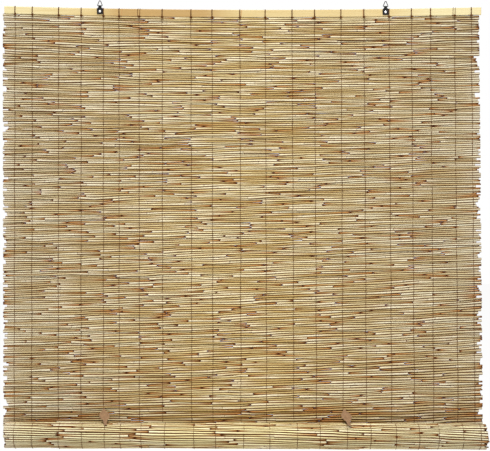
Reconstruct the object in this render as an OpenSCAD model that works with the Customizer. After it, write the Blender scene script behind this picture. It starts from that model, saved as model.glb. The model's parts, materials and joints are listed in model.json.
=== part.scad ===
// Reed roll-up blind
// A mat of reeds, bound with twine, hangs from a bowed bamboo batten on two ring hangers.
// The lower end of the mat is wound forwards round a rod, and two soft ties hold the roll.
// X runs along the batten, +Y points to the wall and +Z is up, in millimetres.
// The origin lies midway between the two hanging eyes.

/* [Head batten] */
// Length of the batten
batten_length = 1219; // [900:1:1830]
// Height of the batten's face
batten_height = 19.4; // [17:0.2:30]
// Thickness of the batten from face to back
batten_thickness = 7; // [5:0.2:12]
// Radius of the batten's rounded edges
batten_edge = 1.6; // [0.4:0.1:2.4]
// Rise of the batten's ends above its middle
batten_bow = 8; // [1:0.5:16]

/* [Ring hangers] */
// Distance of each hanger from the middle of the batten
hanger_offset = 365; // [200:1:400]
// Thickness of the sheet that each hanger is folded from
sheet = 0.8; // [0.5:0.1:1.2]
// Gap between the two layers of the folded sheet
fold_gap = 0.15; // [0.1:0.05:0.3]
// Width of the hanger's plate
plate_width = 15.4; // [13:0.2:22]
// Height of the wide part of the plate
plate_height = 14.2; // [11:0.2:16]
// Radius of the plate's lower corners
plate_corner = 1.8; // [0.5:0.1:3]
// Height of the sloping shoulders between neck and plate
shoulder_height = 3.4; // [1:0.2:5]
// How far the shoulders' upper ends stand above the batten's top
shoulder_rise = 2.4; // [0:0.2:4]
// Play at each side between the neck that is rolled round the ring's bar and the ring's bends
neck_play = 0.3; // [0.2:0.05:2]
// Height of the straight neck between the shoulders and its rolled end
neck_gap = 1.6; // [1.6:0.1:4]
// Diameter of the ring's wire
ring_wire = 1.9; // [1.4:0.1:2.4]
// Width of the ring between the centres of its wires
ring_width = 13.2; // [12:0.1:20]
// Height from the ring's bar to where its straight sides would meet
ring_height = 17; // [15:0.1:26]
// Radius of the ring's two lower bends
ring_bend = 1.6; // [1.2:0.1:2]
// Radius of the ring's upper bend
ring_top_bend = 2.2; // [1.6:0.1:3]
// Clearance round the wire inside the rolled neck
wire_clearance = 0.06; // [0.03:0.01:0.1]
// Diameter of the screw's head
screw_head = 6.4; // [5:0.1:8]
// Height of the screw's head
screw_head_height = 2.2; // [1.6:0.1:3]
// Diameter of the screw's shank
screw_shank = 3; // [2:0.1:4]
// Length of the screw under its head
screw_length = 7; // [5:0.1:8]
// Width of the slots of the screw's cross recess
screw_slot = 0.8; // [0.5:0.1:1.2]
// Clearance round the screw's shank
screw_clearance = 0.05; // [0.03:0.01:0.1]

/* [Reed mat] */
// How far the longest reeds stand out past the batten's ends
mat_overhang = 3; // [-20:0.5:10]
// Height of the hanging mat, from the batten to the level of the roll's axis
mat_drop = 1061; // [500:1:1800]
// Spacing of the reeds
reed_pitch = 5.3; // [4:0.1:9]
// How much the thinnest reeds are pressed into their neighbours
reed_press = 0.1; // [0.05:0.05:0.3]
// How much thicker the thickest reeds are than the thinnest
reed_extra_thickness = 0.6; // [0.3:0.1:1]
// Length of a thinner reed's tip that is pushed into a thicker reed's foot
reed_tip_length = 1; // [0.5:0.1:1.5]
// The most that a reed's end falls short of the mat's edge
reed_rag = 15; // [0:0.5:20]
// Depth below the batten over which the reeds follow its bow
bow_depth = 220; // [80:10:400]
// Number of light gaps through the mat
gap_count = 110; // [0:1:120]
// Height of a light gap
gap_height = 0.9; // [0.5:0.1:1.5]

/* [Twine] */
// Diameter of the binding twine
twine = 1.6; // [1:0.1:2.4]
// Diameter of the knots under the batten
knot = 3.8; // [3:0.1:6]
// Clearance between the twine and what it binds
twine_clearance = 0.1; // [0.05:0.05:0.3]

/* [Roll] */
// Diameter of the rod in the middle of the roll
rod_diameter = 5; // [4:0.2:20]
// Number of half turns of the mat round the rod
half_turns = 9; // [3:2:15]
// Clearance between the turns of the roll
turn_clearance = 0.3; // [0.2:0.1:1]
// How far the roll has crept to the right of the mat
roll_creep = 10; // [-15:0.5:15]

/* [Ties] */
// Width of a tie at its widest
tie_width = 26; // [16:1:40]
// Thickness of a tie
tie_thickness = 1.2; // [0.8:0.1:2]
// Height of a tie's upper end above the roll
tie_rise = 31; // [20:1:50]
// How far a tie's upper end sits to the right of its twine
tie_offset = 2; // [-2:0.5:2]
// Number of the twine that the left tie hangs on
left_tie_warp = 5; // [2:1:10]
// Number of the twine that the right tie hangs on
right_tie_warp = 15; // [12:1:20]

/* [Hidden] */
$fn = 48;

// Cuts run this far past the faces that they open
overrun = 1;

// Bends in wire and twine swell by this much, and straight lengths run this far into them
bend_swell = 0.02;
bend_lap = 0.15;

// Places of the binding twines, as shares of the mat's width
warp_shares = [
    -0.475, -0.439, -0.384, -0.337, -0.293, -0.258, -0.216, -0.168, -0.108, -0.064, -0.006,
    0.047, 0.103, 0.150, 0.205, 0.253, 0.305, 0.352, 0.392, 0.442, 0.477
];
warp_count = len(warp_shares);

// Height of the screw above the plate's lower edge, as a share of the plate's height
screw_place_share = 0.5;

// Depth and length of the screw's cross recess, as shares of its head
recess_depth_share = 0.55;
recess_length_share = 0.62;

// Length of the screw's point, as a share of its shank's diameter
point_share = 0.8;

// Part of the mat's width within which the reeds of a row meet end to end
joint_span_share = 0.7;

// Part of the space between two twines that a light gap takes up
gap_length_share = 0.75;

// Angle past the roll's top to which the ties reach down its front
tie_wrap = 40;

// Leaf shape of a tie: shares of its length from the top, and of its widest width
tie_leaf_shares = [
    [0, 0.2], [0.09, 0.25], [0.15, 0.4], [0.2, 0.6], [0.27, 0.77], [0.36, 0.94], [0.44, 1],
    [0.54, 0.95], [0.61, 0.8], [0.67, 0.6], [0.73, 0.4], [0.79, 0.32], [0.9, 0.3], [1, 0.2]
];

// Angle from the roll's back at which its twines leave the surface
twine_end = 60;

// Number of sides of a reed, and of sorts of reed by thickness
reed_sides = 8;
reed_sorts = 3;

// Number of steps along the batten, round its edges, round the twine and along a tie
batten_steps = 24;
edge_steps = 3;
twine_sides = 8;
tie_steps = 20;

// Ring: the angle at its lower corners and the straight lengths taken up by its bends
ring_angle = atan2(ring_height, ring_width / 2);
ring_side = norm([ring_width / 2, ring_height]);
bend_length = ring_bend / tan(ring_angle / 2);
top_bend_length = ring_top_bend * tan(ring_angle);

// The hanging eye is the circle that fits in the ring
eye_height = ring_width * ring_height / (ring_width + 2 * ring_side);
pivot_z = -eye_height;

// Hanger: the rolled neck and the depth of the folded plate
neck_step = 0.2;
neck_width = floor((ring_width - 2 * bend_length - 2 * neck_play) / neck_step) * neck_step;
sleeve_bore = ring_wire + 2 * wire_clearance;
sleeve_diameter = sleeve_bore + 2 * sheet;
plate_depth = 2 * sheet + fold_gap;
shoulder_z = pivot_z - sleeve_diameter / 2 - neck_gap;
plate_top = shoulder_z - shoulder_height;
plate_bottom = plate_top - plate_height;
screw_z = plate_bottom + plate_height * screw_place_share;
pilot_hole = screw_shank + 2 * screw_clearance;
screw_x_depth = screw_length - plate_depth;

// Batten: its face meets the back of the hanger plates
batten_half = batten_length / 2;
batten_face = plate_depth / 2;
mat_y = batten_face + batten_thickness / 2;
function bow_at(x) = batten_bow * pow(x / batten_half, 2);
batten_top = shoulder_z - shoulder_rise - bow_at(hanger_offset);
batten_bottom = batten_top - batten_height;

// Reeds: their thickness and their rows, the first just under the batten
// A straight rising reed stands above the batten's curve by up to a quarter of the bow
mat_width = batten_length + 2 * mat_overhang;
reed_thin = reed_pitch + reed_press;
reed_thick = reed_thin + reed_extra_thickness;
row_count = floor(mat_drop / reed_pitch);
first_row = batten_bottom - batten_bow / 4 - turn_clearance - reed_thick / 2;
last_row = first_row - (row_count - 1) * reed_pitch;

// Even scatter between 0 and 1, different for each row and each use
function scatter(row, use) = let (wave = sin(row * 127.1 + use * 311.7) * 43758.5) wave - floor(wave);
function reed_sort(row, use) = floor(reed_sorts * scatter(row, use));

// The reeds at the right lie between the sorts at the left, so that one of two that meet is the thinner
function left_size(row) = reed_thin + reed_extra_thickness * reed_sort(row, 4) / reed_sorts;
function right_size(row) = reed_thin + reed_extra_thickness * (reed_sort(row, 5) + 1 / 2) / reed_sorts;
function left_tip(row) = left_size(row) < right_size(row) ? reed_tip_length : 0;
function right_tip(row) = reed_tip_length - left_tip(row);

// Rise of a row's ends, which dies away below the batten, and the height of a row at any place
function row_rise(row) = batten_bow * max(0, 1 - row * reed_pitch / bow_depth);
function row_z(row, x) = first_row - row * reed_pitch + row_rise(row) * abs(x) / batten_half;

// Twine: a twine that would run behind a hanger's plate is tied beside it
plate_reach = (plate_width + twine) / 2 + 5 * twine_clearance;
function beside(x, plate) = abs(x - plate) < plate_reach ? plate + plate_reach : x;
function warp_x(warp) = beside(beside(warp_shares[warp] * mat_width, hanger_offset), -hanger_offset);
strand_y = reed_thick / 2 + twine_clearance + twine / 2;
lashing_y = batten_thickness / 2 + twine_clearance + twine / 2;
knot_y = batten_thickness / 2 + twine_clearance + knot / 2;

// Roll: half turns about two centres that lie half a turn's thickness apart
turn_pitch = reed_thick + turn_clearance;
inner_radius = rod_diameter / 2 + turn_clearance + reed_thick / 2;
function turn_radius(turn) = inner_radius + (half_turns - 1 - turn) * turn_pitch / 2;
function turn_y(turn) = mat_y - turn_radius(0) - (turn % 2) * turn_pitch / 2;
roll_axis_y = turn_y(half_turns - 1);
roll_axis_z = last_row - turn_pitch / 2;
roll_length = PI * half_turns * (turn_radius(0) + turn_radius(half_turns - 1)) / 2;
roll_row_count = floor((roll_length - turn_pitch / 2) / reed_pitch);

// The half turn and the angle along it that lie a given length along the wound mat
function wound(length, turn = 0) =
    length < PI * turn_radius(turn) || turn == half_turns - 1
        ? [turn, turn * 180 + length / turn_radius(turn) * 180 / PI]
        : wound(length - PI * turn_radius(turn), turn + 1);
function wound_place(length) =
    let (at = wound(length), radius = turn_radius(at[0]))
    [0, turn_y(at[0]) + radius * cos(at[1]), roll_axis_z - radius * sin(at[1])];

// The front strands end where the roll comes too close to the mat
roll_face = turn_radius(1) + reed_thick / 2;
strand_room = twine + 2 * turn_clearance;
front_strand_end = roll_axis_z + sqrt(pow(roll_face, 2) - pow(roll_face - strand_room, 2));
back_strand_end = roll_axis_z + turn_clearance / 2;

// Ties: they clear the roll as it turns, and hang from the face of the mat
tie_radius = mat_y - roll_axis_y + strand_y + twine / 2 + turn_clearance + tie_thickness / 2;
tie_top_y = mat_y - strand_y - twine / 2 - turn_clearance - tie_thickness / 2;
tie_top_z = roll_axis_z + turn_radius(1) + reed_thick / 2 + tie_rise;
tie_reach = [tie_top_y - roll_axis_y, tie_top_z - roll_axis_z];
tie_touch = atan2(tie_reach.y, tie_reach.x) + acos(tie_radius / norm(tie_reach));
tie_end = max(90 + tie_wrap, tie_touch);
tie_straight = sqrt(pow(norm(tie_reach), 2) - pow(tie_radius, 2));
tie_length = tie_straight + tie_radius * (tie_end - tie_touch) * PI / 180;

// Where a tie is after a given length: first on a straight line, then round the roll
function round_roll(angle) = [roll_axis_y + tie_radius * cos(angle), roll_axis_z + tie_radius * sin(angle)];
function tie_place(length) =
    length < tie_straight
        ? [tie_top_y, tie_top_z] + (round_roll(tie_touch) - [tie_top_y, tie_top_z]) * length / tie_straight
        : round_roll(tie_touch + (length - tie_straight) / tie_radius * 180 / PI);

function two_digits(number) = str(number < 10 ? "0" : "", number);
function warp_name(warp) = str("warp_twine_", two_digits(warp + 1));
function roll_twine_name(warp) = str("roll_twine_", two_digits(warp + 1));

// One closed solid through a list of rings that all have as many points
module skin(rings) {
    sides = len(rings[0]);
    last = len(rings) - 1;
    walls = [
        for (ring = [0 : last - 1], side = [0 : sides - 1])
            let (low = ring * sides, next = (side + 1) % sides, high = low + sides)
            each [[low + side, high + side, high + next], [low + side, high + next, low + next]]
    ];
    caps = [[for (side = [0 : sides - 1]) side], [for (side = [sides - 1 : -1 : 0]) last * sides + side]];
    polyhedron(points = [for (ring = rings) each ring], faces = concat(caps, walls));
}

// Bamboo slat with rounded edges, bowed so that its ends stand higher than its middle
module head_batten() {
    flat_y = batten_thickness / 2 - batten_edge;
    flat_z = batten_height / 2 - batten_edge;
    section = [
        for (corner = [0 : 3], step = [0 : edge_steps])
            let (turn = 90 * (corner + step / edge_steps))
            [
                (corner == 0 || corner == 3 ? flat_y : -flat_y) + batten_edge * cos(turn),
                (corner < 2 ? flat_z : -flat_z) + batten_edge * sin(turn)
            ]
    ];
    color("burlywood") difference() {
        skin([
            for (step = [0 : batten_steps])
                let (x = batten_length * (step / batten_steps) - batten_half)
                let (middle_z = batten_bottom + batten_height / 2 + bow_at(x))
                [for (point = section) [x, mat_y + point.x, middle_z + point.y]]
        ]);
        for (side = [-1, 1])
            translate([side * hanger_offset, batten_face - overrun, screw_z])
                rotate([-90, 0, 0]) cylinder(d = pilot_hole, h = screw_x_depth + overrun);
    }
}

// Outline of the folded plate: a neck, sloping shoulders and a wide part with round lower corners
module plate_outline() {
    inner_width = plate_width - 2 * plate_corner;
    translate([-neck_width / 2, shoulder_z]) square([neck_width, pivot_z - shoulder_z]);
    polygon([
        [-neck_width / 2, shoulder_z], [neck_width / 2, shoulder_z],
        [plate_width / 2, plate_top], [-plate_width / 2, plate_top]
    ]);
    translate([-plate_width / 2, plate_bottom + plate_corner])
        square([plate_width, plate_height - plate_corner]);
    translate([-inner_width / 2, plate_bottom]) square([inner_width, plate_height]);
    for (side = [-1, 1])
        translate([side * inner_width / 2, plate_bottom + plate_corner]) circle(r = plate_corner);
}

// Strip of sheet rolled round the ring's bar and folded flat, with a hole for its screw
module hanger_plate(side) {
    color("dimgray") translate([side * hanger_offset, 0, 0]) difference() {
        union() {
            rotate([90, 0, 0]) linear_extrude(plate_depth, center = true) plate_outline();
            translate([0, 0, pivot_z])
                rotate([0, 90, 0]) cylinder(d = sleeve_diameter, h = neck_width, center = true);
        }
        translate([0, 0, pivot_z])
            rotate([0, 90, 0]) cylinder(d = sleeve_bore, h = neck_width + 2 * overrun, center = true);
        translate([-plate_width / 2 - overrun, -fold_gap / 2, plate_bottom - overrun])
            cube([plate_width + 2 * overrun, fold_gap, pivot_z - plate_bottom + overrun]);
        translate([0, 0, screw_z])
            rotate([90, 0, 0]) cylinder(d = pilot_hole, h = plate_depth + 2 * overrun, center = true);
    }
}

// Bend in the ring's wire
module wire_bend(place, radius, start, sweep) {
    translate(place) rotate([90, 0, 0]) rotate([0, 0, start])
        rotate_extrude(angle = sweep) translate([radius, 0]) circle(d = ring_wire + 2 * bend_swell);
}

// Triangular wire ring whose straight lower bar turns in the rolled neck
module hanger_ring(side) {
    bar = ring_width - 2 * bend_length;
    straight = ring_side - bend_length - top_bend_length;
    color("gray") translate([side * hanger_offset, 0, pivot_z]) {
        rotate([0, 90, 0]) cylinder(d = ring_wire, h = bar + 2 * bend_lap, center = true);
        for (flip = [0, 1]) mirror([flip, 0, 0]) {
            wire_bend([bar / 2, 0, ring_bend], ring_bend, -90, 180 - ring_angle);
            translate([ring_width / 2, 0, 0]) rotate([0, ring_angle - 90, 0])
                translate([0, 0, bend_length - bend_lap])
                    cylinder(d = ring_wire, h = straight + 2 * bend_lap);
        }
        wire_bend(
            [0, 0, ring_height - ring_top_bend / cos(ring_angle)], ring_top_bend, 90 - ring_angle, 2 * ring_angle
        );
    }
}

// Round-headed screw with a cross recess, driven through the plate into the batten
module hanger_screw(side) {
    dome = (pow(screw_head / 2, 2) + pow(screw_head_height, 2)) / (2 * screw_head_height);
    recess = screw_head * recess_length_share;
    depth = screw_head_height * recess_depth_share;
    point = screw_shank * point_share;
    color("silver") translate([side * hanger_offset, -plate_depth / 2, screw_z]) rotate([-90, 0, 0]) {
        difference() {
            rotate_extrude() intersection() {
                translate([0, dome - screw_head_height]) circle(r = dome);
                translate([0, -screw_head_height]) square([screw_head, screw_head_height]);
            }
            for (turn = [0, 90])
                rotate([0, 0, turn])
                    translate([-recess / 2, -screw_slot / 2, -screw_head_height - overrun])
                        cube([recess, screw_slot, depth + overrun]);
        }
        cylinder(d = screw_shank, h = screw_length - point);
        translate([0, 0, screw_length - point]) cylinder(d1 = screw_shank, d2 = 0, h = point);
    }
}

// One straight length of reed, slightly angular as dry reeds are, measured across its flats
module reed(from, to, size) {
    corner = 180 / reed_sides;
    translate([from, 0, 0]) rotate([0, 90, 0]) rotate([0, 0, corner])
        cylinder(d = size / cos(corner), h = to - from, $fn = reed_sides);
}

// One row of the mat: two reeds of different thickness that meet end to end
module reed_row(row) {
    left = reed_rag * scatter(row, 1) - mat_width / 2;
    right = mat_width / 2 - reed_rag * scatter(row, 2);
    joint = mat_width * joint_span_share * (scatter(row, 3) - 1 / 2);
    reed(left, joint + left_tip(row), left_size(row));
    reed(joint - right_tip(row), right, right_size(row));
}

// One of the upper rows, whose two reeds meet in the middle and rise towards the batten's ends
module rising_row(row) {
    tilt = atan2(row_rise(row), batten_half);
    left = reed_rag * scatter(row, 1) - mat_width / 2;
    right = mat_width / 2 - reed_rag * scatter(row, 2);
    rotate([0, tilt, 0]) reed(left, left_tip(row), left_size(row));
    rotate([0, -tilt, 0]) reed(-right_tip(row), right, right_size(row));
}

// Light gap between a row and the next, in the space between two twines
module light_gap(number) {
    row = floor(scatter(number, 6) * (row_count - 1));
    warp = floor(scatter(number, 7) * (warp_count - 1));
    space = warp_x(warp + 1) - warp_x(warp);
    x = (warp_x(warp) + warp_x(warp + 1)) / 2;
    z = (row_z(row, x) + row_z(row + 1, x)) / 2;
    translate([x, 0, z]) cube([space * gap_length_share, 2 * reed_thick, gap_height], center = true);
}

// The hanging mat: rows of reeds pressed side by side into one wall, with light gaps between them
module reed_mat() {
    color("tan") translate([0, mat_y, 0]) difference() {
        for (row = [0 : row_count - 1])
            translate([0, 0, row_z(row, 0)])
                if (row_rise(row) > 0) rising_row(row);
                else reed_row(row);
        for (number = [1 : 1 : gap_count]) light_gap(number);
    }
}

// The rolled end of the mat: the same rows wound round the rod from the back, under and over
module reed_roll() {
    color("wheat") translate([roll_creep, 0, 0])
        for (row = [0 : roll_row_count - 1])
            let (length = turn_pitch / 2 + row * reed_pitch)
                translate(wound_place(length)) rotate([-wound(length)[1], 0, 0]) reed_row(row_count + row);
}

// Round cane in the middle of the roll
module core_rod() {
    color("peru") translate([roll_creep, roll_axis_y, roll_axis_z])
        rotate([0, 90, 0]) cylinder(d = rod_diameter, h = mat_width - 2 * reed_rag, center = true);
}

// Ring of points round a twine that runs through a place in the plane across the batten
function twine_ring(x, place, ahead, size) = [
    for (side = [0 : twine_sides - 1])
        let (turn = 360 * side / twine_sides, out = size / 2 * cos(turn))
        [x + size / 2 * sin(turn), mat_y + place.x - out * ahead.y, place.y + out * ahead.x]
];

// Twine: from the mat's face up to its knot, round the batten and down the back of the mat
module warp_twine(warp) {
    x = warp_x(warp);
    top = batten_top + bow_at(x) + twine_clearance + twine / 2;
    low = batten_bottom + bow_at(x);
    start = row_z(0, x) - reed_pitch;
    route = [
        [-strand_y, front_strand_end, twine], [-strand_y, start, twine],
        [-knot_y, low - knot / 2, twine], [-knot_y, low - knot / 4, knot], [-knot_y, low + knot / 4, knot],
        [-knot_y, low + knot / 2, twine], [-lashing_y, low + knot, twine],
        [-lashing_y, top - batten_edge, twine], [-lashing_y + batten_edge, top, twine],
        [lashing_y - batten_edge, top, twine], [lashing_y, top - batten_edge, twine],
        [lashing_y, low, twine], [strand_y, start, twine], [strand_y, back_strand_end, twine]
    ];
    last = len(route) - 1;
    color("saddlebrown") skin([
        for (stop = [0 : last])
            let (before = route[max(stop - 1, 0)], after = route[min(stop + 1, last)])
            let (way = [after.x - before.x, after.y - before.y])
            twine_ring(x, route[stop], way / norm(way), route[stop].z)
    ]);
}

// Twine round the outer turn of the roll, from the back, under and over to where the turn goes in
module roll_twine(warp) {
    start = asin(turn_clearance / turn_radius(0));
    lap = asin(bend_lap / turn_radius(1));
    color("saddlebrown") translate([warp_x(warp) + roll_creep, 0, roll_axis_z]) {
        roll_twine_arc(0, -180, 180 - start, twine + 2 * bend_swell);
        roll_twine_arc(1, twine_end, 180 - twine_end + lap, twine);
    }
}

module roll_twine_arc(turn, start, sweep, size) {
    translate([0, turn_y(turn), 0]) rotate([90, 0, 90]) rotate([0, 0, start])
        rotate_extrude(angle = sweep) translate([turn_radius(turn) + strand_y, 0]) circle(d = size);
}

// Soft tie: a leaf-shaped strip from the face of the mat down over the top of the roll
module roll_tie(warp) {
    color("tan") skin([
        for (step = [0 : tie_steps])
            let (share = step / tie_steps, place = tie_place(share * tie_length))
            let (after = tie_place(min(share + 1 / tie_steps, 1) * tie_length))
            let (before = tie_place(max(share - 1 / tie_steps, 0) * tie_length))
            let (across = [before.y - after.y, after.x - before.x] / norm(after - before) * tie_thickness / 2)
            let (half = tie_width / 2 * lookup(share, tie_leaf_shares))
            let (x = warp_x(warp) + tie_offset + roll_creep * share)
            [
                for (corner = [[-1, -1], [-1, 1], [1, 1], [1, -1]])
                    [x + corner.x * half, place.x + corner.y * across.x, place.y + corner.y * across.y]
            ]
    ]);
}

head_batten();
hanger_plate(-1);  // hanger_plate_left
hanger_plate(1);  // hanger_plate_right
hanger_ring(-1);  // hanger_ring_left
hanger_ring(1);  // hanger_ring_right
hanger_screw(-1);  // hanger_screw_left
hanger_screw(1);  // hanger_screw_right
reed_mat();
reed_roll();
core_rod();
roll_tie(left_tie_warp - 1);  // roll_tie_left
roll_tie(right_tie_warp - 1);  // roll_tie_right
for (warp = [0 : warp_count - 1]) {
    warp_twine(warp);
    roll_twine(warp);
}
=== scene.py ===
import json

import bpy
import numpy as np
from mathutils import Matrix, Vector


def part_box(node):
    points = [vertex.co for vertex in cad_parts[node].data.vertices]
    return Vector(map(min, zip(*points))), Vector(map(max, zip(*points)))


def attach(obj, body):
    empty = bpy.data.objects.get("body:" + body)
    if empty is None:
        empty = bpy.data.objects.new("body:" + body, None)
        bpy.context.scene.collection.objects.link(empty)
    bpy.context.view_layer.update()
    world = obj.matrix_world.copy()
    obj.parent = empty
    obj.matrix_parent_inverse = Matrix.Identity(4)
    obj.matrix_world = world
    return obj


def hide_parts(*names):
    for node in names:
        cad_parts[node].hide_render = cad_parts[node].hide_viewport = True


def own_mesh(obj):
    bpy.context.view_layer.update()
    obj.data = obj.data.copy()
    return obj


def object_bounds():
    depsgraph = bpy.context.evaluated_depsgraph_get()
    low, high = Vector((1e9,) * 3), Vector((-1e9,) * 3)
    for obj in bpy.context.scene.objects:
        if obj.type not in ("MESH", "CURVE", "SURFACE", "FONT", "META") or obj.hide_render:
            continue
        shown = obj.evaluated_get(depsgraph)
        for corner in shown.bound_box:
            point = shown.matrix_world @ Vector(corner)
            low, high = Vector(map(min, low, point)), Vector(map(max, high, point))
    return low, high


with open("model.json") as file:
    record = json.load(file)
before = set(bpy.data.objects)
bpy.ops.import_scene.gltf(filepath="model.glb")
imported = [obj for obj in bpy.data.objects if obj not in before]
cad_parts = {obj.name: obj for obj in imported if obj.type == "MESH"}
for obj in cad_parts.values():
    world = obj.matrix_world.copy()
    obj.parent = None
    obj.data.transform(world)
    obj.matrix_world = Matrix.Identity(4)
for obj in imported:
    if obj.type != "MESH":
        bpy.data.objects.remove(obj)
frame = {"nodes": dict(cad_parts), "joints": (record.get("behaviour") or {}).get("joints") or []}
cad_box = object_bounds()


# Head batten: a slat split from a thick bamboo culm and bowed a little, so that its ends stand high.
# Its face is the hard pale skin of the culm, with fine fibres along it and a faint ring at each joint.
# Every twine of the mat is lashed round it.

batten_height = 0.0194
batten_low, batten_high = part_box("head_batten")
batten_half = (batten_high.x - batten_low.x) / 2
batten_bow = batten_high.z - batten_low.z - batten_height
batten_depth = batten_high.y - batten_low.y


def colour(red, green, blue):
    """Screen bytes as the linear colour that a shader takes: ((c + 0.055) / 1.055) to the power 2.4."""
    share = np.array([red, green, blue]) / 255
    linear = np.where(share > 0.04045, ((share + 0.055) / 1.055) ** 2.4, share / 12.92)
    return (*linear, 1.0)


def plug(tree, node, sockets):
    """Wires each given socket to the named input of a node, and sets any other value on it."""
    for name, value in sockets.items():
        if isinstance(value, bpy.types.NodeSocket):
            tree.links.new(value, node.inputs[name])
        else:
            node.inputs[name].default_value = value


def add_node(tree, kind, sockets=None, **settings):
    """Adds a shader node with its settings and inputs."""
    node = tree.nodes.new(kind)
    for name, value in settings.items():
        setattr(node, name, value)
    plug(tree, node, sockets or {})
    return node


def object_place(tree):
    """The place on a piece, in the piece's own coordinates."""
    return add_node(tree, "ShaderNodeTexCoord").outputs["Object"]


def along_width(tree):
    """The place from left to right on a piece."""
    return add_node(tree, "ShaderNodeSeparateXYZ", {"Vector": object_place(tree)}).outputs["X"]


def calc(tree, operation, *values):
    """One sum on values, such as ADD, MULTIPLY or MAXIMUM."""
    return add_node(tree, "ShaderNodeMath", dict(enumerate(values)), operation=operation).outputs[0]


def remap(tree, value, low, high, to_low=0.0, to_high=1.0, curve="LINEAR"):
    """A value carried from the range low to high over to another range, straight or by an S curve."""
    return add_node(tree, "ShaderNodeMapRange", {
        "Value": value, "From Min": low, "From Max": high, "To Min": to_low, "To Max": to_high},
        interpolation_type=curve).outputs[0]


def mix(tree, share, first, second, blend="MIX"):
    """The second colour laid over the first by a share, or multiplied with it."""
    return add_node(tree, "ShaderNodeMix", {"Factor": share, "A": first, "B": second},
                    data_type="RGBA", blend_type=blend).outputs["Result"]


def ramp(tree, value, stops):
    """A colour for a value from 0 to 1, through stops of a place and a colour."""
    node = add_node(tree, "ShaderNodeValToRGB", {"Fac": value})
    elements = node.color_ramp.elements
    for place, shade in stops[1:-1]:
        elements.new(place).color = shade
    for end in (0, -1):
        elements[end].position, elements[end].color = stops[end]
    return node.outputs["Color"]


def noise(tree, place, scale, detail, roughness=0.5):
    """Cloudy noise from 0 to 1."""
    return add_node(tree, "ShaderNodeTexNoise", {
        "Vector": place, "Scale": scale, "Detail": detail, "Roughness": roughness}).outputs[0]


def bump(tree, height, strength, distance):
    """The way a surface faces once a height has tilted it."""
    return add_node(tree, "ShaderNodeBump", {
        "Strength": strength, "Distance": distance, "Height": height}).outputs[0]


def new_finish(name):
    """A new material, its node tree and its Principled shader."""
    finish = bpy.data.materials.new(name)
    finish.use_nodes = True
    return finish, finish.node_tree, finish.node_tree.nodes["Principled BSDF"]


def fibre_group():
    """Plant fibre that runs along X: noise on Object coordinates, stretched by a scale along and one across.
    Streak is a light and dark line from 0 to 1, Patch a slow change of tone, Height the fibres' relief."""
    group = bpy.data.node_groups.new("plant_fibre", "ShaderNodeTree")
    for name in ("Along", "Across"):
        group.interface.new_socket(name, in_out="INPUT", socket_type="NodeSocketFloat")
    for name in ("Streak", "Patch", "Height"):
        group.interface.new_socket(name, in_out="OUTPUT", socket_type="NodeSocketFloat")
    given = add_node(group, "NodeGroupInput").outputs
    scale = add_node(group, "ShaderNodeCombineXYZ", {
        "X": given["Along"], "Y": given["Across"], "Z": given["Across"]})
    run = add_node(group, "ShaderNodeVectorMath", {0: object_place(group), 1: scale.outputs[0]},
                   operation="MULTIPLY").outputs[0]
    fine = noise(group, run, scale=1.0, detail=3.0, roughness=0.6)
    add_node(group, "NodeGroupOutput", {
        "Streak": remap(group, fine, 0.3, 0.7, curve="SMOOTHSTEP"),
        "Patch": noise(group, run, scale=0.21, detail=2.0),
        "Height": fine})
    return group


plant_fibre = fibre_group()


def fibres(tree, along, across):
    """Places the fibre group in a material and gives its outputs."""
    sockets = {"Along": along, "Across": across}
    return add_node(tree, "ShaderNodeGroup", sockets, node_tree=plant_fibre).outputs


def bamboo_skin():
    """Pale yellow bamboo: bleached towards both ends and browner along one stretch left of the middle, with
    fibre streaks, slow patches, and a thin brown ring wherever the culm had a joint."""
    finish, tree, shader = new_finish("bamboo_skin")
    bleached, straw, browner = colour(222, 215, 178), colour(211, 194, 147), colour(183, 153, 100)
    tone = ramp(tree, remap(tree, along_width(tree), batten_low.x, batten_high.x), (
        (0.0, bleached), (0.18, straw), (0.25, browner), (0.42, browner), (0.5, straw), (0.8, straw),
        (0.9, bleached)))
    fibre = fibres(tree, along=9.0, across=900.0)
    grain = calc(tree, "MULTIPLY", fibre["Streak"], fibre["Patch"])
    streaked = mix(tree, grain, colour(234, 222, 194), colour(255, 255, 255))
    shade = mix(tree, 1.0, tone, streaked, "MULTIPLY")
    rings = add_node(tree, "ShaderNodeTexWave", {
        "Vector": object_place(tree), "Scale": 1.02, "Distortion": 0.6, "Detail": 1.0, "Detail Scale": 3.0},
        wave_type="BANDS", bands_direction="X", wave_profile="SAW").outputs["Fac"]
    joint = remap(tree, rings, 0.985, 1.0, curve="SMOOTHSTEP")
    relief = calc(tree, "ADD", fibre["Height"], joint)
    plug(tree, shader, {
        "Base Color": mix(tree, joint, shade, colour(176, 134, 78)),
        "Normal": bump(tree, relief, strength=0.35, distance=0.0004),
        "Roughness": 0.42})
    return finish


def dress(node, finish):
    """Gives a CAD node one finish in place of its own."""
    materials = frame["nodes"][node].data.materials
    materials.clear()
    materials.append(finish)


dress("head_batten", bamboo_skin())


# Ring hangers: a strip of dark sheet steel rolled round the bar of a wire ring and folded flat.
# One bright round-headed screw holds both layers to the batten's face.

def dark_steel(name, shade, roughness):
    """Blackened steel: a cloudy dark tone with fine scuffs in its gloss."""
    finish, tree, shader = new_finish(name)
    cloud = noise(tree, object_place(tree), scale=420.0, detail=4.0, roughness=0.6)
    paler = colour(*[1.7 * part for part in shade])
    plug(tree, shader, {
        "Base Color": mix(tree, cloud, colour(*shade), paler),
        "Roughness": remap(tree, cloud, 0.0, 1.0, roughness - 0.1, roughness + 0.15),
        "Normal": bump(tree, cloud, strength=0.2, distance=0.0001),
        "Specular IOR Level": 0.2})
    return finish


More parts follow.
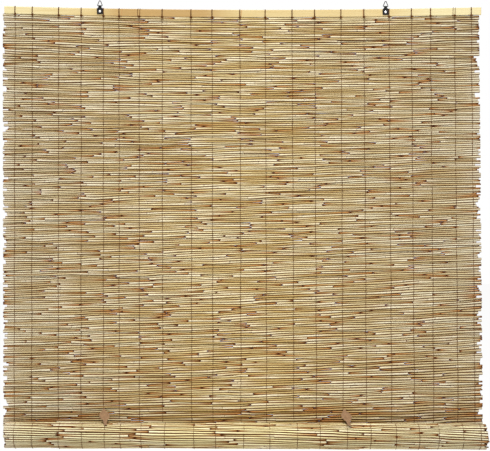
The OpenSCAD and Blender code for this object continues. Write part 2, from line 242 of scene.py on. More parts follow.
def bright_steel():
    """Bright plated steel with faint turning marks."""
    finish, tree, shader = new_finish("bright_steel")
    marks = noise(tree, object_place(tree), scale=900.0, detail=2.0)
    plug(tree, shader, {
        "Base Color": colour(246, 246, 244),
        "Roughness": remap(tree, marks, 0.0, 1.0, 0.22, 0.4),
        "Metallic": 0.6})
    return finish


plate_steel = dark_steel("plate_steel", (15, 14, 14), 0.6)
ring_steel = dark_steel("ring_steel", (30, 29, 28), 0.5)
screw_steel = bright_steel()
for side in ("left", "right"):
    for piece, finish in (("plate", plate_steel), ("ring", ring_steel), ("screw", screw_steel)):
        dress(f"hanger_{piece}_{side}", finish)


# Reed mat: dry river reeds laid side by side, row under row, several reeds end to end in each row.
# Each reed tapers from a thick foot to a thin tip, and most tips are stained dark brown.
# The upper rows follow the batten's bow.

rng = np.random.default_rng(48)
phases = (0, 6)


def fill_mesh(name, points, walls, caps):
    """A mesh from points, four-sided walls (smooth) and many-sided caps (flat), set as whole arrays."""
    mesh = bpy.data.meshes.new(name)
    mesh.vertices.add(len(points))
    mesh.vertices.foreach_set("co", np.asarray(points, np.float32).ravel())
    mesh.loops.add(walls.size + caps.size)
    mesh.loops.foreach_set("vertex_index", np.concatenate([walls.ravel(), caps.ravel()]).astype(np.int32))
    wall_starts = 4 * np.arange(len(walls))
    cap_starts = walls.size + caps.shape[1] * np.arange(len(caps))
    mesh.polygons.add(len(walls) + len(caps))
    mesh.polygons.foreach_set("loop_start", np.concatenate([wall_starts, cap_starts]).astype(np.int32))
    mesh.polygons.foreach_set("use_smooth", np.arange(len(walls) + len(caps)) < len(walls))
    mesh.update(calc_edges=True)
    piece = bpy.data.objects.new(name, mesh)
    bpy.context.scene.collection.objects.link(piece)
    return piece


def tubes(name, points):
    """Closed tubes from an array (tube, ring, side, xyz): corner (r, s) of a wall joins (r, s+1), (r+1, s+1)
    and (r+1, s), and each tube's first and last ring are its caps."""
    corner = np.arange(points[..., 0].size).reshape(points.shape[:3])
    beside = np.roll(corner, -1, axis=2)
    walls = np.stack([corner[:, :-1], beside[:, :-1], beside[:, 1:], corner[:, 1:]], axis=-1)
    caps = np.concatenate([corner[:, 0, ::-1], corner[:, -1]])
    return fill_mesh(name, points.reshape(-1, 3), walls.reshape(-1, 4), caps)


def point_value(piece, name, values):
    """Stores one number for each point of a piece, for its material to read."""
    attribute = piece.data.attributes.new(name, "FLOAT", "POINT")
    attribute.data.foreach_set("value", np.asarray(values, np.float32).ravel())


def running_mean(count, width):
    """Weights of a soft running mean: exp(-(i - j)^2 / 2 width^2), with each line adding up to one."""
    gap = np.arange(count)[:, None] - np.arange(count)
    weight = np.exp(-gap ** 2 / (2 * width ** 2))
    return weight / weight.sum(axis=1, keepdims=True)


reed_foot = 0.0036
reed_tip = 0.0022
reed_taper = 1.3
reed_lengths = (0.10, 0.26)
first_lengths = (0.04, 0.22)
shortest_end = 0.05
scrap_length = 0.001
most_reeds = 14
size_shares = (0.84, 1.14)
turned_share = 0.2
turned_rise = 0.45
straight_rows = 3
even_rows = 6
stiff_columns = 4
plan_columns = 480
column_margin = 0.001


def reed_radius(share, size):
    """Radius from foot to tip: it falls with a power of the share of the reed's length."""
    return size * (reed_foot + (reed_tip - reed_foot) * share ** reed_taper)


def plan_reeds(left, right, pitch, fullness):
    """Plans a mat whose row i runs from left[i] to right[i]. Rows are cut into reeds by running sums of
    random lengths, and more reeds have their tip at the left the further right they start. At each place
    along the mat the rows are stacked by their own thickness, and the slow part of that sum is taken away,
    so that thick feet push their neighbours aside but the mat stays even and its first row stays straight.
    A reed's size is a random share times fullness(row, x) at its middle. Gives each reed's row, start, end,
    turn and size, and the radius and sideways shift of each row by column."""
    count = len(left)
    row = np.arange(count)[:, None]
    lengths = rng.uniform(*reed_lengths, (count, most_reeds))
    lengths[:, 0] = rng.uniform(*first_lengths, count)
    ends = left[:, None] + np.cumsum(lengths, axis=1)
    ends = np.where(ends > right[:, None] - shortest_end, right[:, None], ends)
    starts = np.concatenate([left[:, None], ends[:, :-1]], axis=1)
    along = (starts - left.min()) / (right.max() - left.min())
    turned = rng.random(ends.shape) < turned_share + turned_rise * along
    size = rng.uniform(*size_shares, ends.shape) * fullness(row + 0 * ends, (starts + ends) / 2)
    kept = ends > starts + scrap_length
    grid = np.linspace(left.min(), right.max(), plan_columns)
    piece = np.minimum((ends[:, :, None] <= grid).sum(axis=1), kept.sum(axis=1)[:, None] - 1)
    start, end, back, share_of_size = (
        np.take_along_axis(table, piece, axis=1) for table in (starts, ends, turned, size))
    share = np.clip((grid - start) / (end - start), 0, 1)
    radius = reed_radius(np.where(back, 1 - share, share), share_of_size)
    mean = 2 * radius.mean(axis=0)
    shift = np.cumsum(2 * radius, axis=0) - radius - (row + 0.5) * mean
    shift = (shift - running_mean(count, even_rows) @ shift) @ running_mean(plan_columns, stiff_columns).T
    shift *= pitch / mean * np.clip(row / straight_rows, 0, 1)
    return {
        "rows": np.repeat(row[:, 0], kept.sum(axis=1)), "starts": starts[kept], "ends": ends[kept],
        "turned": turned[kept], "size": size[kept], "grid": grid, "radius": radius, "shift": shift}


def look_up(plan, name, row, x):
    """A planned table between its rows and columns, by the shares of the four nearest entries."""
    table, grid = plan[name], plan["grid"]
    column = np.clip((x - grid[0]) / (grid[1] - grid[0]), 0, plan_columns - 1 - column_margin)
    low_row = np.clip(np.floor(row).astype(int), 0, len(table) - 2)
    low_column = column.astype(int)
    down, on = row - low_row, column - low_column
    upper = table[low_row, low_column] * (1 - on) + table[low_row, low_column + 1] * on
    lower = table[low_row + 1, low_column] * (1 - on) + table[low_row + 1, low_column + 1] * on
    return upper * (1 - down) + lower * down


reed_sides = 8
reed_stations = np.array([0, 0.012, 0.2, 0.4, 0.6, 0.8, 0.988, 1])
rounded_end = 0.82
flatness = 0.94
stand_spread = 0.0005
stand_wave = 0.0003
waves_per_metre = 9
tone_bias = 1.2
brown_shares = (0.6, 0.97)
brownest_share = 0.1
stain_lengths = (0.002, 0.013)


def lay_reeds(name, plan, centre, painted_shading):
    """Reeds as tapered tubes along X about centre(row, x), which also gives the angle that a row faces, with
    slightly rounded ends, a little in front of or behind their neighbours. Stores for each point its reed's
    tone, start of browning and length of stain, its share from foot to tip, its distance from the tip and,
    as the size of the sine of its way round, how near it is to the seam with the next reed, where the finish
    paints shade.
    A row's painted shading makes it darker and browner by that much, as painted shade, or paler where it is
    less than none, as painted light."""
    rows, starts, ends = plan["rows"], plan["starts"], plan["ends"]
    count = len(rows)
    share = np.where(plan["turned"][:, None], 1 - reed_stations, reed_stations)
    x = starts[:, None] + (ends - starts)[:, None] * reed_stations
    radius = reed_radius(share, plan["size"][:, None])
    radius[:, [0, -1]] *= rounded_end
    y, z, facing = centre(rows[:, None] + 0 * x, x)
    stand = rng.normal(0, stand_spread, (count, 1))
    stand = stand + stand_wave * np.sin(waves_per_metre * x + rng.uniform(*phases, (count, 1)))
    y, z = y + stand * np.cos(facing), z + stand * np.sin(facing)
    way_round = 2 * np.pi * np.arange(reed_sides) / reed_sides
    angle = facing[:, :, None] + way_round
    per_point = np.ones((count, len(reed_stations), reed_sides))
    piece = tubes(name, np.stack([
        per_point * x[:, :, None],
        y[:, :, None] + flatness * radius[:, :, None] * np.cos(angle),
        z[:, :, None] + radius[:, :, None] * np.sin(angle)], axis=-1))
    # Painted shade darkens and browns some rows here, and painted light makes others paler.
    painted_darkening = painted_shading(rows)
    tone = rng.beta(tone_bias, tone_bias, count) - painted_darkening
    brown_start = rng.uniform(*brown_shares, count) - np.maximum(painted_darkening, 0)
    brown_start = np.clip(brown_start, brownest_share, brown_shares[1])
    from_tip = (1 - share) * (ends - starts)[:, None]
    point_value(piece, "reed_tone", per_point * tone[:, None, None])
    point_value(piece, "reed_share", per_point * share[:, :, None])
    point_value(piece, "reed_seam", per_point * np.abs(np.sin(way_round)))
    point_value(piece, "brown_start", per_point * brown_start[:, None, None])
    point_value(piece, "from_tip", per_point * from_tip[:, :, None])
    point_value(piece, "stain_length", per_point * rng.uniform(*stain_lengths, count)[:, None, None])
    return piece


def reed_finish(name, palest):
    """Dry reed: tan to the palest straw from reed to reed, fibre streaks, a pale foot, a greyer and more
    weathered tone towards both ends of the blind, a tip that browns towards its end, a dark stain on the last
    few millimetres, and painted brown shade in the seams between reeds."""
    finish, tree, shader = new_finish(name)
    fibre = fibres(tree, along=14.0, across=1500.0)
    given = {value: add_node(tree, "ShaderNodeAttribute", attribute_name=value).outputs["Fac"]
             for value in ("reed_tone", "reed_share", "reed_seam", "brown_start", "from_tip", "stain_length")}
    drift = remap(tree, fibre["Patch"], 0.3, 0.7, -0.2, 0.2)
    straw = ramp(tree, calc(tree, "ADD", given["reed_tone"], drift), (
        (0.0, colour(204, 177, 111)), (0.5, colour(227, 210, 153)), (1.0, palest)))
    streak = mix(tree, fibre["Streak"], colour(206, 190, 160), colour(255, 255, 255))
    shade = mix(tree, 1.0, straw, streak, "MULTIPLY")
    foot = remap(tree, given["reed_share"], 0.0, 0.3, 0.5, 0.0)
    footed = mix(tree, foot, shade, colour(243, 236, 207))
    from_middle = calc(tree, "ABSOLUTE", along_width(tree))
    fresh = remap(tree, from_middle, 0.1, batten_half, 1.0, 0.84)
    aged = add_node(tree, "ShaderNodeHueSaturation", {
        "Color": footed, "Saturation": fresh, "Value": fresh}).outputs["Color"]
    brown = remap(tree, given["reed_share"], given["brown_start"], 1.02, 0.0, 0.9, "SMOOTHSTEP")
    browned = mix(tree, brown, aged, colour(182, 122, 56))
    stain = remap(tree, given["from_tip"], 0.0, given["stain_length"], 1.0, 0.0, "SMOOTHSTEP")
    stained = mix(tree, stain, browned, colour(98, 50, 14))
    # Painted shade: the reeds are darkened and lose their gloss towards the seams between them, where shade
    # falls.
    seam_shade = remap(tree, given["reed_seam"], 0.12, 0.85, curve="SMOOTHSTEP")
    plug(tree, shader, {
        "Base Color": mix(tree, seam_shade, stained, colour(112, 60, 10), "MULTIPLY"),
        "Normal": bump(tree, fibre["Height"], strength=0.3, distance=0.0003),
        "Specular IOR Level": remap(tree, seam_shade, 0.0, 1.0, 0.16, 0.0),
        "Roughness": 0.45})
    return finish


reed_pitch = 0.0053
first_row_drop = 0.0031
last_row_rise = 0.0028
mat_low, mat_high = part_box("reed_mat")
mat_y = (batten_low.y + batten_high.y) / 2
first_row = batten_low.z - first_row_drop
last_row = mat_low.z + last_row_rise
row_count = round((first_row - last_row) / reed_pitch) + 1
row_step = (first_row - last_row) / (row_count - 1)
bowed_share = 0.45
left_edge = np.array([-0.0015, 0.0025])
right_edge = np.array([-0.0075, 0.0045])
rag = 0.015
rag_power = 3.5
lift_depth_shares = np.array([0, 0.1, 0.68, 0.86, 1])
right_lifts = np.array([0, 0, 0.045, 0.039, 0.020])
even_lift_share = 0.6
# Painted shade: the rows just above the roll are painted darker and browner for the shade in the crease
# between roll and mat.
crease_shaded_rows = 12
fading_rows = 4
deepest_crease_shade = 0.32


def ragged(count):
    """How far each row falls short of the edge: rag times a power of a random share, so that few fall far."""
    return rag * rng.random(count) ** rag_power


def row_lift(row, x):
    """How far a row has risen at a place: more towards the right end, as 0.6 u + 0.4 u squared of the width,
    and most at two thirds of the mat's drop, since at the right the reeds above it are thinner than below."""
    across = np.clip((x - mat_low.x) / (mat_high.x - mat_low.x), 0, 1)
    rise = np.interp(row / (row_count - 1), lift_depth_shares, right_lifts)
    return rise * (even_lift_share * across + (1 - even_lift_share) * across ** 2)


def row_fullness(row, x):
    """How thick a row's reeds have to be at a place: the row's own step there over an even step."""
    return 1 - (row_lift(row + 0.5, x) - row_lift(row - 0.5, x)) / row_step


def row_end(row):
    """Where a row that is partly on the roll passes from the roll, at its left, to the mat, at its right."""
    width = np.linspace(mat_low.x, mat_high.x, plan_columns)
    return np.interp(row * row_step, row_lift(row_count - 1, width), width)


turned_rows = int(right_lifts[-1] / row_step)
row_depth = np.arange(row_count + turned_rows) / (row_count - 1)
mat_left = mat_low.x + np.interp(row_depth, [0, 1], left_edge) + ragged(len(row_depth))
mat_left[row_count:] = row_end(np.arange(turned_rows) + 1)
mat_right = mat_high.x + np.interp(row_depth, [0, 1], right_edge) - ragged(len(row_depth))
mat_plan = plan_reeds(mat_left, mat_right, row_step, row_fullness)


def row_centre(row, x):
    """Middle line of a row: even steps down from the first row, its own sideways shift, the batten's bow
    times (x / half) squared, dying away with depth, and the lift of the rows. Gives y, z and the way it
    faces."""
    depth = row / (row_count - 1)
    bow = batten_bow * (x / batten_half) ** 2 * np.clip(1 - depth / bowed_share, 0, 1)
    fall = row * row_step + look_up(mat_plan, "shift", row, x) - row_lift(row, x)
    return mat_y + 0 * x, first_row - fall + bow, -np.pi + 0 * x


def painted_crease_shade(row):
    """How far painted shade darkens and browns a row: most just above the roll, in the crease between roll
    and mat, falling to nothing over a few rows.
    """
    return deepest_crease_shade * np.clip((row - row_count + crease_shaded_rows) / fading_rows, 0, 1)


reed_mat = lay_reeds("reeds_of_mat", mat_plan, row_centre, painted_crease_shade)
reed_mat.data.materials.append(reed_finish("dry_reed", colour(243, 237, 200)))
roll_axis = next(joint["pos_m"] for joint in frame["joints"] if joint["name"] == "roll_spin")
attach(reed_mat, "blind")
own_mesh(reed_mat)
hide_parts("reed_mat")


# Binding twines: two strands of brown plied twine to each line, which cross between every two reeds, so that
# one passes in front of a reed and the other behind it, and change places at the next.

twine_radius = 0.0006
twine_sides = 5
twine_bite = 0.6
strand_offset = 0.0003
mat_drift = 0.012
bunching = 0.004
stitch_shares = np.array([-0.28, 0.28])
warp_names = sorted(name for name in frame["nodes"] if name.startswith("warp_twine"))
warp_x = np.array([(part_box(name)[0].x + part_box(name)[1].x) / 2 for name in warp_names])
warp_spread = (warp_x - warp_x[0]) / (warp_x[-1] - warp_x[0])
sideways = np.array([1.0, 0, 0])
front_to_back = np.array([0, 1.0, 0])


def sweep(name, path, side_axis, radius, sides):
    """Tubes along paths (tube, ring, xyz): the way is the difference of neighbours, out is way x side_axis,
    and a ring is path + radius (cos a side + sin a out), with side turned square to the way."""
    way = np.gradient(path, axis=1)
    way /= np.linalg.norm(way, axis=-1, keepdims=True)
    out = np.cross(way, side_axis)
    out /= np.linalg.norm(out, axis=-1, keepdims=True)
    side = np.cross(out, way)
    angle = 2 * np.pi * np.arange(sides) / sides
    ring = np.cos(angle)[:, None] * side[:, :, None] + np.sin(angle)[:, None] * out[:, :, None]
    piece = tubes(name, path[:, :, None] + radius * ring)
    steps = np.linalg.norm(np.diff(path, axis=1), axis=-1)
    length = np.concatenate([np.zeros((len(path), 1)), np.cumsum(steps, axis=1)], axis=1)
    point_value(piece, "along_twine", np.repeat(length[:, :, None], sides, axis=2))
    point_value(piece, "round_twine", np.broadcast_to(np.arange(sides) / sides, (*path.shape[:2], sides)))
    return piece


def twine_finish():
    """Brown plied twine: furrows that wind round it, by its length and way round, painted darker as painted
    shade, and a fuzzy tone.
    """
    finish, tree, shader = new_finish("brown_twine")
    along = add_node(tree, "ShaderNodeAttribute", attribute_name="along_twine").outputs["Fac"]
    around = add_node(tree, "ShaderNodeAttribute", attribute_name="round_twine").outputs["Fac"]
    ply = calc(tree, "PINGPONG", calc(tree, "MULTIPLY_ADD", along, 700.0, around), 0.5)
    cloud = noise(tree, object_place(tree), scale=260.0, detail=3.0)
    tone = mix(tree, cloud, colour(92, 56, 24), colour(150, 102, 56))
    # Painted shade in the furrows of the ply.
    painted_furrow_shade = mix(tree, ply, colour(170, 150, 128), colour(255, 255, 255))
    plug(tree, shader, {
        "Base Color": mix(tree, 1.0, tone, painted_furrow_shade, "MULTIPLY"),
        "Normal": bump(tree, ply, strength=0.6, distance=0.0003),
        "Roughness": 0.9,
        "Specular IOR Level": 0.08})
    return finish


def stitch(rows):
    """Where a strand passes over each of a number of rows, just above and below the reed's middle, and on
    which side: plus and minus one in turn."""
    places = (np.arange(rows)[:, None] + stitch_shares).ravel()
    return places, np.repeat(np.where(np.arange(rows) % 2, 1, -1), len(stitch_shares))


def wander(rows, reach, pace, phase):
    """How far the twines stray sideways: reach times sin(row / pace + phase times the twine's number)."""
    return reach * np.sin(rows / pace + phase * np.arange(len(warp_x))[:, None])


brown_twine = twine_finish()
stitch_rows, stitch_side = stitch(row_count + turned_rows)
last_rows = row_count - 0.5 + row_lift(row_count - 1, warp_x)[:, None] / row_step
past = np.clip(stitch_rows - last_rows, 0, None)
rows = stitch_rows - (1 - bunching) * past
for strand, face in (("one", 1), ("two", -1)):
    drift = mat_drift * warp_spread[:, None] * rows / (row_count - 1)
    x = warp_x[:, None] + drift + wander(rows, reach=0.0006, pace=7, phase=6) + face * strand_offset
    y, z = row_centre(rows, x)[:2]
    reach = flatness * look_up(mat_plan, "radius", np.round(rows), x) + twine_bite * twine_radius
    path = np.stack([x, y + face * stitch_side * reach * (past == 0), z], axis=-1)
    twine = sweep(f"twine_strand_{strand}", path, sideways, twine_radius, twine_sides)
    twine.data.materials.append(brown_twine)
    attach(twine, "blind")
    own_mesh(twine)
    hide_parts(*warp_names)


# Lashings: each twine is wound twice round the batten and drawn into a knot at its lower edge.
# A short tail is left at each knot, and the turns of two lashings lie apart.

lashing_turns = 2
lashing_rings = 96
lashing_sides = 6
corner_power = 0.25
close_winding = 2.2 * twine_radius
loose_winding = 9 * twine_radius
loose_lashings = [6, 19]
knot_size = 0.001
knot_rings = 40
knot_radius = 1.3 * twine_radius
knot_stand = 0.0016
knot_drop = 0.0008
tail_rings = 7
tail_lengths = (0.003, 0.008)
tail_drops = (-0.0005, 0.002)
tail_swing = 0.0004
tails_to_right = 0.75


def batten_foot(x):
    """Height of the batten's lower edge: its lowest place plus the bow times (x / half) squared."""
    return batten_low.z + batten_bow * (x / batten_half) ** 2


def squared(wave):
    """A sine or cosine bent towards a square wave: its size to the power 1/4, with its sign."""
    return np.sign(wave) * np.abs(wave) ** corner_power


def lashing_paths(x, step):
    """Windings round the batten's rounded section: y and z are the half sizes times the squared cos and sin,
    and x moves on by a step for each turn."""
    angle = np.linspace(0, 2 * np.pi * lashing_turns, lashing_rings)[None, :] - np.pi / 2
    middle = batten_foot(x) + batten_height / 2
    return np.stack([
        x[:, None] + step[:, None] * (angle / (2 * np.pi) + 0.25 - lashing_turns / 2),
        mat_y - (batten_depth / 2 + twine_radius) * squared(np.cos(angle)) + 0 * step[:, None],
        middle[:, None] + (batten_height / 2 + twine_radius) * squared(np.sin(angle))], axis=-1)


def knot_paths(x):
    """Overhand knots: the trefoil (sin t + 2 sin 2t, sin 3t, cos t - 2 cos 2t), each turned a little, below
    the batten's lower edge on its face."""
    t = np.linspace(0, 2 * np.pi, knot_rings) + rng.uniform(*phases, (len(x), 1))
    tilt = rng.uniform(0, 2 * np.pi, (len(x), 1))
    flat = np.stack([np.sin(t) + 2 * np.sin(2 * t), np.cos(t) - 2 * np.cos(2 * t)])
    across = flat[0] * np.cos(tilt) - flat[1] * np.sin(tilt)
    up = flat[0] * np.sin(tilt) + flat[1] * np.cos(tilt)
    return np.stack([
        x[:, None] + knot_size * across,
        mat_y - batten_depth / 2 - knot_stand + knot_size * np.sin(3 * t),
        batten_foot(x)[:, None] - knot_drop + knot_size * up], axis=-1)


def tail_paths(x):
    """Tails of the knots: they leave to the right, a few to the left, and sink with their length squared."""
    part = np.linspace(0, 1, tail_rings)
    length = rng.uniform(*tail_lengths, (len(x), 1))
    length = length * np.where(rng.random((len(x), 1)) < tails_to_right, 1, -1)
    drop = rng.uniform(*tail_drops, (len(x), 1))
    return np.stack([
        x[:, None] + length * part,
        mat_y - batten_depth / 2 - knot_stand - tail_swing * np.sin(np.pi * part) + 0 * drop,
        batten_foot(x)[:, None] - knot_drop - drop * part ** 2], axis=-1)


winding_step = np.full(len(warp_x), close_winding)
winding_step[loose_lashings] = loose_winding
lashings = sweep("lashings", lashing_paths(warp_x, winding_step), sideways, twine_radius, lashing_sides)
knots = sweep("lashing_knots", knot_paths(warp_x), front_to_back, knot_radius, lashing_sides)
tails = sweep("knot_tails", tail_paths(warp_x), front_to_back, twine_radius, lashing_sides)
for piece in (lashings, knots, tails):
    piece.data.materials.append(brown_twine)
    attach(piece, "blind")


# Roll: the lower end of the same mat, wound from the back, under and over, round a thin cane.
# It has crept a little to the right, and its reeds end unevenly; they are painted paler than the mat's, as
# painted light for the brighter light that the roll catches from above.

turn_pitch = 0.0063
half_turns = 9
roll_size_share = 0.97
# Painted light: how much paler the roll's reeds are painted than the mat's.
roll_painted_paleness = 0.42
roll_inset = 0.004
end_dome = 0.005
roll_low, roll_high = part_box("reed_roll")
roll_radius = mat_y - roll_axis[1]
roll_creep = roll_axis[0]
turn_radii = roll_radius - np.arange(half_turns) * turn_pitch / 2
turn_ends = np.cumsum(np.pi * turn_radii)
roll_rows = int((turn_ends[-1] - turn_pitch / 2) / reed_pitch)


def wound(length):
    """Where the wound mat is after a length: half turn k has radius r0 - k pitch / 2, about the axis if k
    is even and half a pitch in front of it if k is odd. Gives y, z and the outward y and z."""
    turn = np.minimum(np.searchsorted(turn_ends, length, side="right"), half_turns - 1)
    before = np.concatenate([[0], turn_ends])[turn]
    angle = np.pi * turn + (length - before) / turn_radii[turn]
    middle = roll_axis[1] - (turn % 2) * turn_pitch / 2
    out_y, out_z = np.cos(angle), -np.sin(angle)
    return middle + turn_radii[turn] * out_y, roll_axis[2] + turn_radii[turn] * out_z, out_y, out_z


def roll_fullness(row, x):
    """The roll's reeds all keep one share of their size, a little less than the mat's."""
    return roll_size_share + 0 * x


roll_left = roll_low.x + roll_inset + ragged(roll_rows)
roll_right = roll_high.x - ragged(roll_rows)
facing_front = np.clip(-wound(turn_pitch / 2 + reed_pitch * np.arange(roll_rows))[2], 0, 1)
roll_right -= end_dome * (1 - facing_front)
roll_right[:turned_rows] = row_end(np.arange(turned_rows) + 1) + roll_creep
roll_plan = plan_reeds(roll_left, roll_right, reed_pitch, roll_fullness)


def roll_length(row, x):
    """Length along the wound mat of a row at a place: even steps, the row's own sideways shift, and less by
    the lift that the mat's last row has there."""
    lift = row_lift(row_count - 1, x - roll_creep)
    return turn_pitch / 2 + row * reed_pitch + look_up(roll_plan, "shift", row, x) - lift


def roll_centre(row, x):
    """Middle line of a wound row and the way it faces."""
    y, z, out_y, out_z = wound(roll_length(row, x))
    return y, z, np.arctan2(out_z, out_y)


def roll_painted_light(row):
    """Every row of the roll is painted paler than the mat by one amount, as painted light for the brighter
    light on the roll.
    """
    return 0 * row - roll_painted_paleness


reed_roll = lay_reeds("reeds_of_roll", roll_plan, roll_centre, roll_painted_light)
# The roll's finish has a paler palest straw than the mat's: painted light, as the roll catches more light.
reed_roll.data.materials.append(reed_finish("yellow_reed", colour(251, 246, 192)))
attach(reed_roll, "roll")
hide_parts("reed_roll")


# Twines of the roll: the mat's own twines, which run on round the roll's outer turn in the same stitch.
# They have moved to the right with the roll.

twined_rows = 29
roll_drift = 0.006
roll_flatness = 0.97
roll_twine_names = sorted(name for name in frame["nodes"] if name.startswith("roll_twine"))
stitch_rows, stitch_side = stitch(twined_rows)
rows = stitch_rows + np.ceil(row_lift(row_count - 1, warp_x) / reed_pitch)[:, None]
for strand, face in (("one", 1), ("two", -1)):
    drift = roll_creep + roll_drift * warp_spread[:, None]
    x = warp_x[:, None] + drift + wander(stitch_rows, reach=0.0005, pace=5, phase=4) + face * strand_offset
    y, z, out_y, out_z = wound(roll_length(rows, x))
    reach = roll_flatness * look_up(roll_plan, "radius", np.round(rows), x) + twine_bite * twine_radius
    out = face * stitch_side * reach
    path = np.stack([x, y + out * out_y, z + out * out_z], axis=-1)
    twine = sweep(f"roll_strand_{strand}", path, sideways, twine_radius, twine_sides)
    twine.data.materials.append(brown_twine)
    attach(twine, "roll")
    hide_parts(*roll_twine_names)


# Core rod: a thin round cane in the middle of the roll, seen only at the roll's ends.
# The mat's lower end is wound on it.

def cane_skin():
    """Brown cane with fine fibres along it."""
    finish, tree, shader = new_finish("cane_skin")
    fibre = fibres(tree, along=12.0, across=1100.0)
    plug(tree, shader, {
        "Base Color": mix(tree, fibre["Streak"], colour(150, 112, 66), colour(198, 160, 108)),
        "Normal": bump(tree, fibre["Height"], strength=0.3, distance=0.0003),
        "Roughness": 0.5})
    return finish


dress("core_rod", cane_skin())


# Ties: soft tan strips, wide in the middle and pinched at both ends, that hang from a twine on the face of
# the mat and reach down over the front of the roll to hold it.

tie_width = 0.026
tie_thickness = 0.0012
tie_stand = 0.0056
tie_wrap = np.radians(130)
tie_rows = 61
tie_columns = 25
tie_leaf_shares = np.array([
    [0, 0.09, 0.15, 0.2, 0.27, 0.36, 0.44, 0.54, 0.61, 0.67, 0.73, 0.79, 0.9, 1],
    [0.2, 0.25, 0.4, 0.6, 0.77, 0.94, 1, 0.95, 0.8, 0.6, 0.4, 0.32, 0.3, 0.2]])
leaf_softness = 1.5
pinch_share = 0.4
fold_count = 3
fold_depth = 0.0006
edge_curl = 0.0014
weave_unit = 0.01


def tie_cloth():
    """Tan woven strip: two crossing sets of threads from its own length and width, and slow stains."""
    finish, tree, shader = new_finish("tan_cloth")
    weave_map = add_node(tree, "ShaderNodeUVMap", uv_map="cloth").outputs[0]
    threads = [
        add_node(tree, "ShaderNodeTexWave", {"Vector": weave_map, "Scale": 2.6, "Distortion": 0.4},
                 wave_type="BANDS", bands_direction=direction).outputs["Fac"]
        for direction in ("X", "Y")]
    weave = calc(tree, "MULTIPLY", *threads)
    cloud = noise(tree, object_place(tree), scale=120.0, detail=3.0)
    tone = mix(tree, cloud, colour(118, 87, 55), colour(170, 135, 95))
    thread = mix(tree, weave, colour(205, 195, 185), colour(255, 255, 255))
    plug(tree, shader, {
        "Base Color": mix(tree, 1.0, tone, thread, "MULTIPLY"),
        "Normal": bump(tree, weave, strength=0.5, distance=0.0004),
        "Roughness": 0.9,
        "Sheen Weight": 0.2})
    return finish


tan_cloth = tie_cloth()


def hang_tie(name, node):
    """A strip as a grid (along, across): its line runs from the mat's face along the tangent to a circle
    about the roll's axis and on round that circle; its width follows the leaf's shares, softened by a
    running mean; its edges curl forwards and its narrow ends are gathered into soft folds."""
    low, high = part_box(node)
    radius = roll_radius + tie_stand
    top = np.array([high.y - tie_thickness / 2, high.z])
    axis = np.array(roll_axis[1:])
    reach = top - axis
    touch = np.arctan2(reach[1], reach[0]) + np.arccos(radius / np.linalg.norm(reach))
    straight = np.sqrt(reach @ reach - radius ** 2)
    length = straight + radius * max(tie_wrap - touch, 0)
    along = np.linspace(0, 1, tie_rows)[:, None]
    across = np.linspace(-1, 1, tie_columns)[None, :]
    run = along * length
    touching = axis + radius * np.array([np.cos(touch), np.sin(touch)])
    turn = touch + np.clip(run - straight, 0, None) / radius
    out_y, out_z = np.cos(turn), np.sin(turn)
    on_line = run < straight
    y = np.where(on_line, top[0] + (touching[0] - top[0]) * run / straight, axis[0] + radius * out_y)
    z = np.where(on_line, top[1] + (touching[1] - top[1]) * run / straight, axis[1] + radius * out_z)
    half = np.interp(along[:, 0], *tie_leaf_shares)[:, None]
    half = tie_width / 2 * running_mean(tie_rows, leaf_softness) @ half
    pinch = np.clip(1 - half / (pinch_share * tie_width), 0, 1)
    fold = fold_depth * pinch * np.cos(fold_count * np.pi * across) + edge_curl * (1 - pinch) * across ** 4
    hang = (low.x + high.x) / 2 - roll_creep / 2
    hang += mat_drift * (hang - warp_x[0]) / (warp_x[-1] - warp_x[0])
    x = hang + roll_creep * along + half * across
    points = np.stack([x, y + fold * out_y, z + fold * out_z], axis=-1)
    corner = np.arange(x.size).reshape(x.shape)
    walls = np.stack([corner[:-1, :-1], corner[1:, :-1], corner[1:, 1:], corner[:-1, 1:]], axis=-1)
    walls = walls.reshape(-1, 4)
    strip = fill_mesh(name, points.reshape(-1, 3), walls, np.empty((0, 4), int))
    uv = np.stack([half * across, run + 0 * across], axis=-1).reshape(-1, 2) / weave_unit
    uv_map = strip.data.uv_layers.new(name="cloth")
    uv_map.data.foreach_set("uv", uv[walls.ravel()].astype(np.float32).ravel())
    strip.data.materials.append(tan_cloth)
    solid = strip.modifiers.new("thickness", "SOLIDIFY")
    solid.thickness = tie_thickness
    solid.offset = 0
    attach(strip, "ties")
    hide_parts(node)


for side in ("left", "right"):
    hang_tie(f"tie_strip_{side}", f"roll_tie_{side}")


# Studio: a pale floor below the hanging blind, a white surround, soft light from above and in front, and a
# long lens square to the blind.

floor_gap = 0.25
floor_reach = 14
floor_white = 0.93
surround_light = 0.38


def seen_ray(tree):
    """One for a ray from the camera, a mirror or glass, else none: the largest of the three marks."""
    ray = add_node(tree, "ShaderNodeLightPath").outputs
    direct = calc(tree, "MAXIMUM", ray["Is Camera Ray"], ray["Is Glossy Ray"])
    return calc(tree, "MAXIMUM", direct, ray["Is Transmission Ray"])


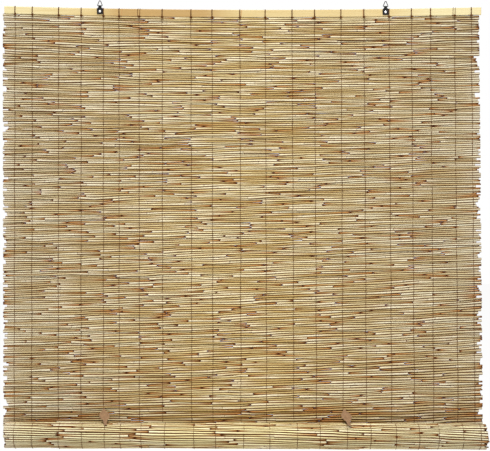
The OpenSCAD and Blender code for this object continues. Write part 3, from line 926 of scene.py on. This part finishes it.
def pale_floor():
    """Pale matt floor that the camera sees almost white, with the shadow left in it."""
    finish, tree, shader = new_finish("pale_floor")
    plug(tree, shader, {"Base Color": (0.86, 0.86, 0.86, 1), "Roughness": 0.9})
    glow = add_node(tree, "ShaderNodeEmission", {"Color": (1, 1, 1, 1), "Strength": 1.0})
    part = calc(tree, "MULTIPLY", seen_ray(tree), floor_white)
    mixed = add_node(tree, "ShaderNodeMixShader", {0: part, 1: shader.outputs[0], 2: glow.outputs[0]})
    plug(tree, tree.nodes["Material Output"], {"Surface": mixed.outputs[0]})
    return finish


floor_level = roll_low.z - floor_gap
corners = np.array([[-1, -1], [1, -1], [1, 1], [-1, 1]]) * floor_reach
floor_points = np.column_stack([corners, np.full(len(corners), floor_level)])
floor = fill_mesh("floor", floor_points, np.arange(len(corners))[None, :], np.empty((0, 4), int))
floor.data.materials.append(pale_floor())

world = bpy.data.worlds.new("white_surround")
bpy.context.scene.world = world
world.use_nodes = True
sky = world.node_tree
plug(sky, sky.nodes["Background"], {
    "Color": (1, 1, 1, 1), "Strength": remap(sky, seen_ray(sky), 0.0, 1.0, surround_light, 1.0)})

blind_middle = Vector((0, 0, (cad_box[0][2] + cad_box[1][2]) / 2))


def soft_lamp(name, place, size, watts):
    """A square lamp that faces the middle of the blind."""
    lamp = bpy.data.lights.new(name, "AREA")
    lamp.size = size
    lamp.energy = watts
    holder = bpy.data.objects.new(name, lamp)
    bpy.context.scene.collection.objects.link(holder)
    holder.location = place
    holder.rotation_euler = (holder.location - blind_middle).to_track_quat("Z", "Y").to_euler()


soft_lamp("key_lamp", (-0.8, -3.4, 8.2), 2.4, 1200)
soft_lamp("fill_lamp", (0.9, -3.6, 0.4), 2.2, 24)

photo_width, photo_height = 490, 451
metres_per_pixel = 0.002555
batten_middle_pixel = 242.2
eye_level_pixel = 4.51
camera_distance = 3.1
camera_roll = -0.0025
lens = bpy.data.cameras.new("front_camera")
lens.sensor_fit = "HORIZONTAL"
lens.angle_x = 2 * np.arctan(photo_width * metres_per_pixel / 2 / camera_distance)
camera = bpy.data.objects.new("front_camera", lens)
bpy.context.scene.collection.objects.link(camera)
camera.location = (
    (photo_width / 2 - batten_middle_pixel) * metres_per_pixel,
    -camera_distance,
    (eye_level_pixel - photo_height / 2) * metres_per_pixel)
camera.rotation_euler = (np.pi / 2, camera_roll, 0)
bpy.context.scene.camera = camera
bpy.context.scene.view_settings.view_transform = "Standard"
